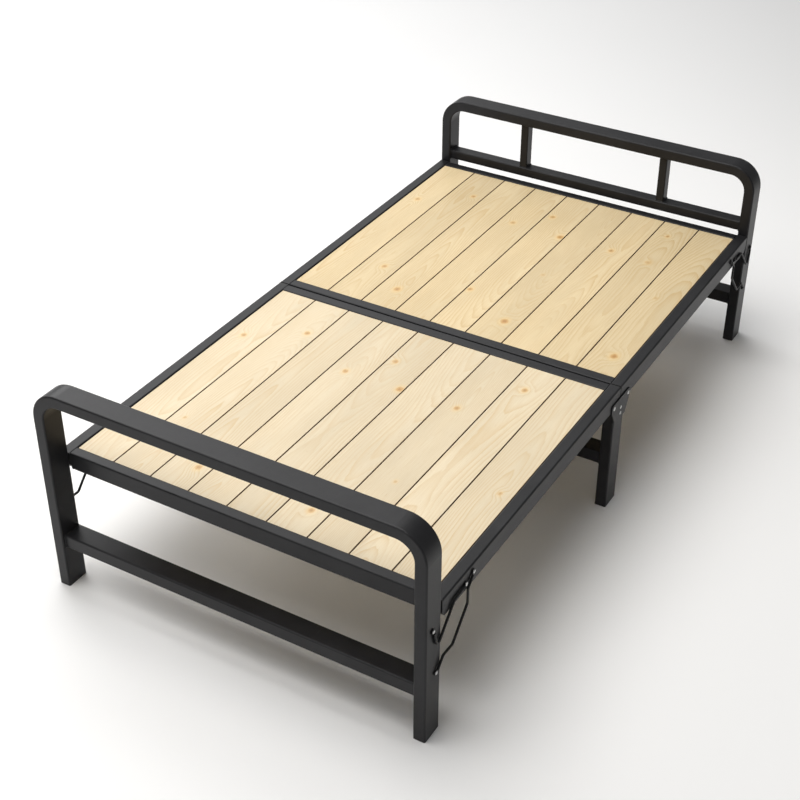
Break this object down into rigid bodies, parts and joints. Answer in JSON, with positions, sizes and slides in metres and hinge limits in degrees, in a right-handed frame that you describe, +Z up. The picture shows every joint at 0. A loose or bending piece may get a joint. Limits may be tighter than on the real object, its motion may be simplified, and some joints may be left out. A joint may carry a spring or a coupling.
{
  "type": "folding cot",
  "caption": "Low folding cot with plank deck halves hinged on a centre leg, fold-under end frames and a low barred headboard.",
  "frame": {"origin": "on the floor under the middle of the bed: bottom centre of the bounding box", "axes": "+X along the bed towards the headboard, +Y across it, +Z up"},
  "size_m": [1.906, 1.013, 0.556],
  "materials": {
    "powder_coat": "satin charcoal-black powder coat",
    "pine": "bare knotty pine, planed and sanded",
    "pine_light": "bare knotty pine, planed and sanded",
    "rivet_steel": "bare bright steel",
    "black_plastic": "moulded black plastic"
  },
  "bodies": {
    "centre_leg": {"centre_leg_near": "powder_coat", "centre_leg_far": "powder_coat", "centre_crossbar": "powder_coat", "centre_leg_feet": "black_plastic", "hinge_plates": "powder_coat", "hinge_pins": "rivet_steel", "plate_rivets": "rivet_steel"},
    "foot_half": {"foot_rail_near": "powder_coat", "foot_rail_far": "powder_coat", "foot_end_rail": "powder_coat", "foot_centre_rail": "powder_coat", "foot_rail_plugs": "black_plastic", "foot_bearers": "powder_coat", "foot_board_1": "pine_light", "foot_board_2": "pine_light", "foot_board_3": "pine_light", "foot_board_4": "pine_light", "foot_board_5": "pine_light", "foot_board_6": "pine_light", "foot_board_7": "pine_light", "foot_board_8": "pine_light", "foot_board_9": "pine_light", "foot_board_screws": "rivet_steel", "foot_rail_rivets": "rivet_steel"},
    "foot_short_link_pair": {"foot_short_links": "powder_coat"},
    "foot_long_link_pair": {"foot_long_links": "powder_coat", "foot_link_end_rivets": "rivet_steel"},
    "foot_frame": {"foot_frame_tube": "powder_coat", "foot_crossbar": "powder_coat", "foot_frame_feet": "black_plastic", "foot_leg_rivets": "rivet_steel"},
    "head_half": {"head_rail_near": "powder_coat", "head_rail_far": "powder_coat", "head_end_rail": "powder_coat", "head_centre_rail": "powder_coat", "head_rail_plugs": "black_plastic", "head_bearers": "powder_coat", "head_board_1": "pine", "head_board_2": "pine", "head_board_3": "pine", "head_board_4": "pine", "head_board_5": "pine", "head_board_6": "pine", "head_board_7": "pine", "head_board_8": "pine", "head_board_9": "pine", "head_board_screws": "rivet_steel", "head_rail_rivets": "powder_coat"},
    "head_short_link_pair": {"head_short_links": "powder_coat"},
    "head_long_link_pair": {"head_long_links": "powder_coat", "head_link_end_rivets": "powder_coat"},
    "head_frame": {"head_frame_tube": "powder_coat", "head_crossbar": "powder_coat", "head_frame_feet": "black_plastic", "head_leg_rivets": "powder_coat", "headboard_rail": "powder_coat", "headboard_posts": "powder_coat"}
  },
  "joints": [
    {"name": "foot_half_fold", "type": "hinge", "parent": "centre_leg", "child": "foot_half", "pos_m": [-0.042, 0, 0.313], "axis": [0, -1, 0], "range_deg": [0, 72]},
    {"name": "foot_frame_fold", "type": "hinge", "parent": "foot_half", "child": "foot_short_link_pair", "pos_m": [-0.793, 0, 0.324], "axis": [0, -1, 0], "range_deg": [0, 140.19]},
    {"name": "foot_long_link_swing", "type": "hinge", "parent": "foot_half", "child": "foot_long_link_pair", "pos_m": [-0.76, 0, 0.334], "axis": [0, -1, 0], "range_deg": [0, 117.15]},
    {"name": "foot_frame_turn", "type": "hinge", "parent": "foot_short_link_pair", "child": "foot_frame", "pos_m": [-0.929, 0, 0.301], "axis": [0, -1, 0], "range_deg": [-50.2, 0]},
    {"name": "head_half_fold", "type": "hinge", "parent": "centre_leg", "child": "head_half", "pos_m": [0.042, 0, 0.313], "axis": [0, 1, 0], "range_deg": [0, 72]},
    {"name": "head_frame_fold", "type": "hinge", "parent": "head_half", "child": "head_short_link_pair", "pos_m": [0.793, 0, 0.324], "axis": [0, 1, 0], "range_deg": [0, 140.19]},
    {"name": "head_long_link_swing", "type": "hinge", "parent": "head_half", "child": "head_long_link_pair", "pos_m": [0.76, 0, 0.334], "axis": [0, 1, 0], "range_deg": [0, 117.15]},
    {"name": "head_frame_turn", "type": "hinge", "parent": "head_short_link_pair", "child": "head_frame", "pos_m": [0.929, 0, 0.301], "axis": [0, 1, 0], "range_deg": [-50.2, 0]}
  ],
  "couplings": [
    {"joint": "foot_long_link_swing", "follows": "foot_frame_fold", "ratio": 0.83559},
    {"joint": "foot_frame_turn", "follows": "foot_frame_fold", "ratio": -0.35801},
    {"joint": "head_long_link_swing", "follows": "head_frame_fold", "ratio": 0.83559},
    {"joint": "head_frame_turn", "follows": "head_frame_fold", "ratio": -0.35801}
  ]
}
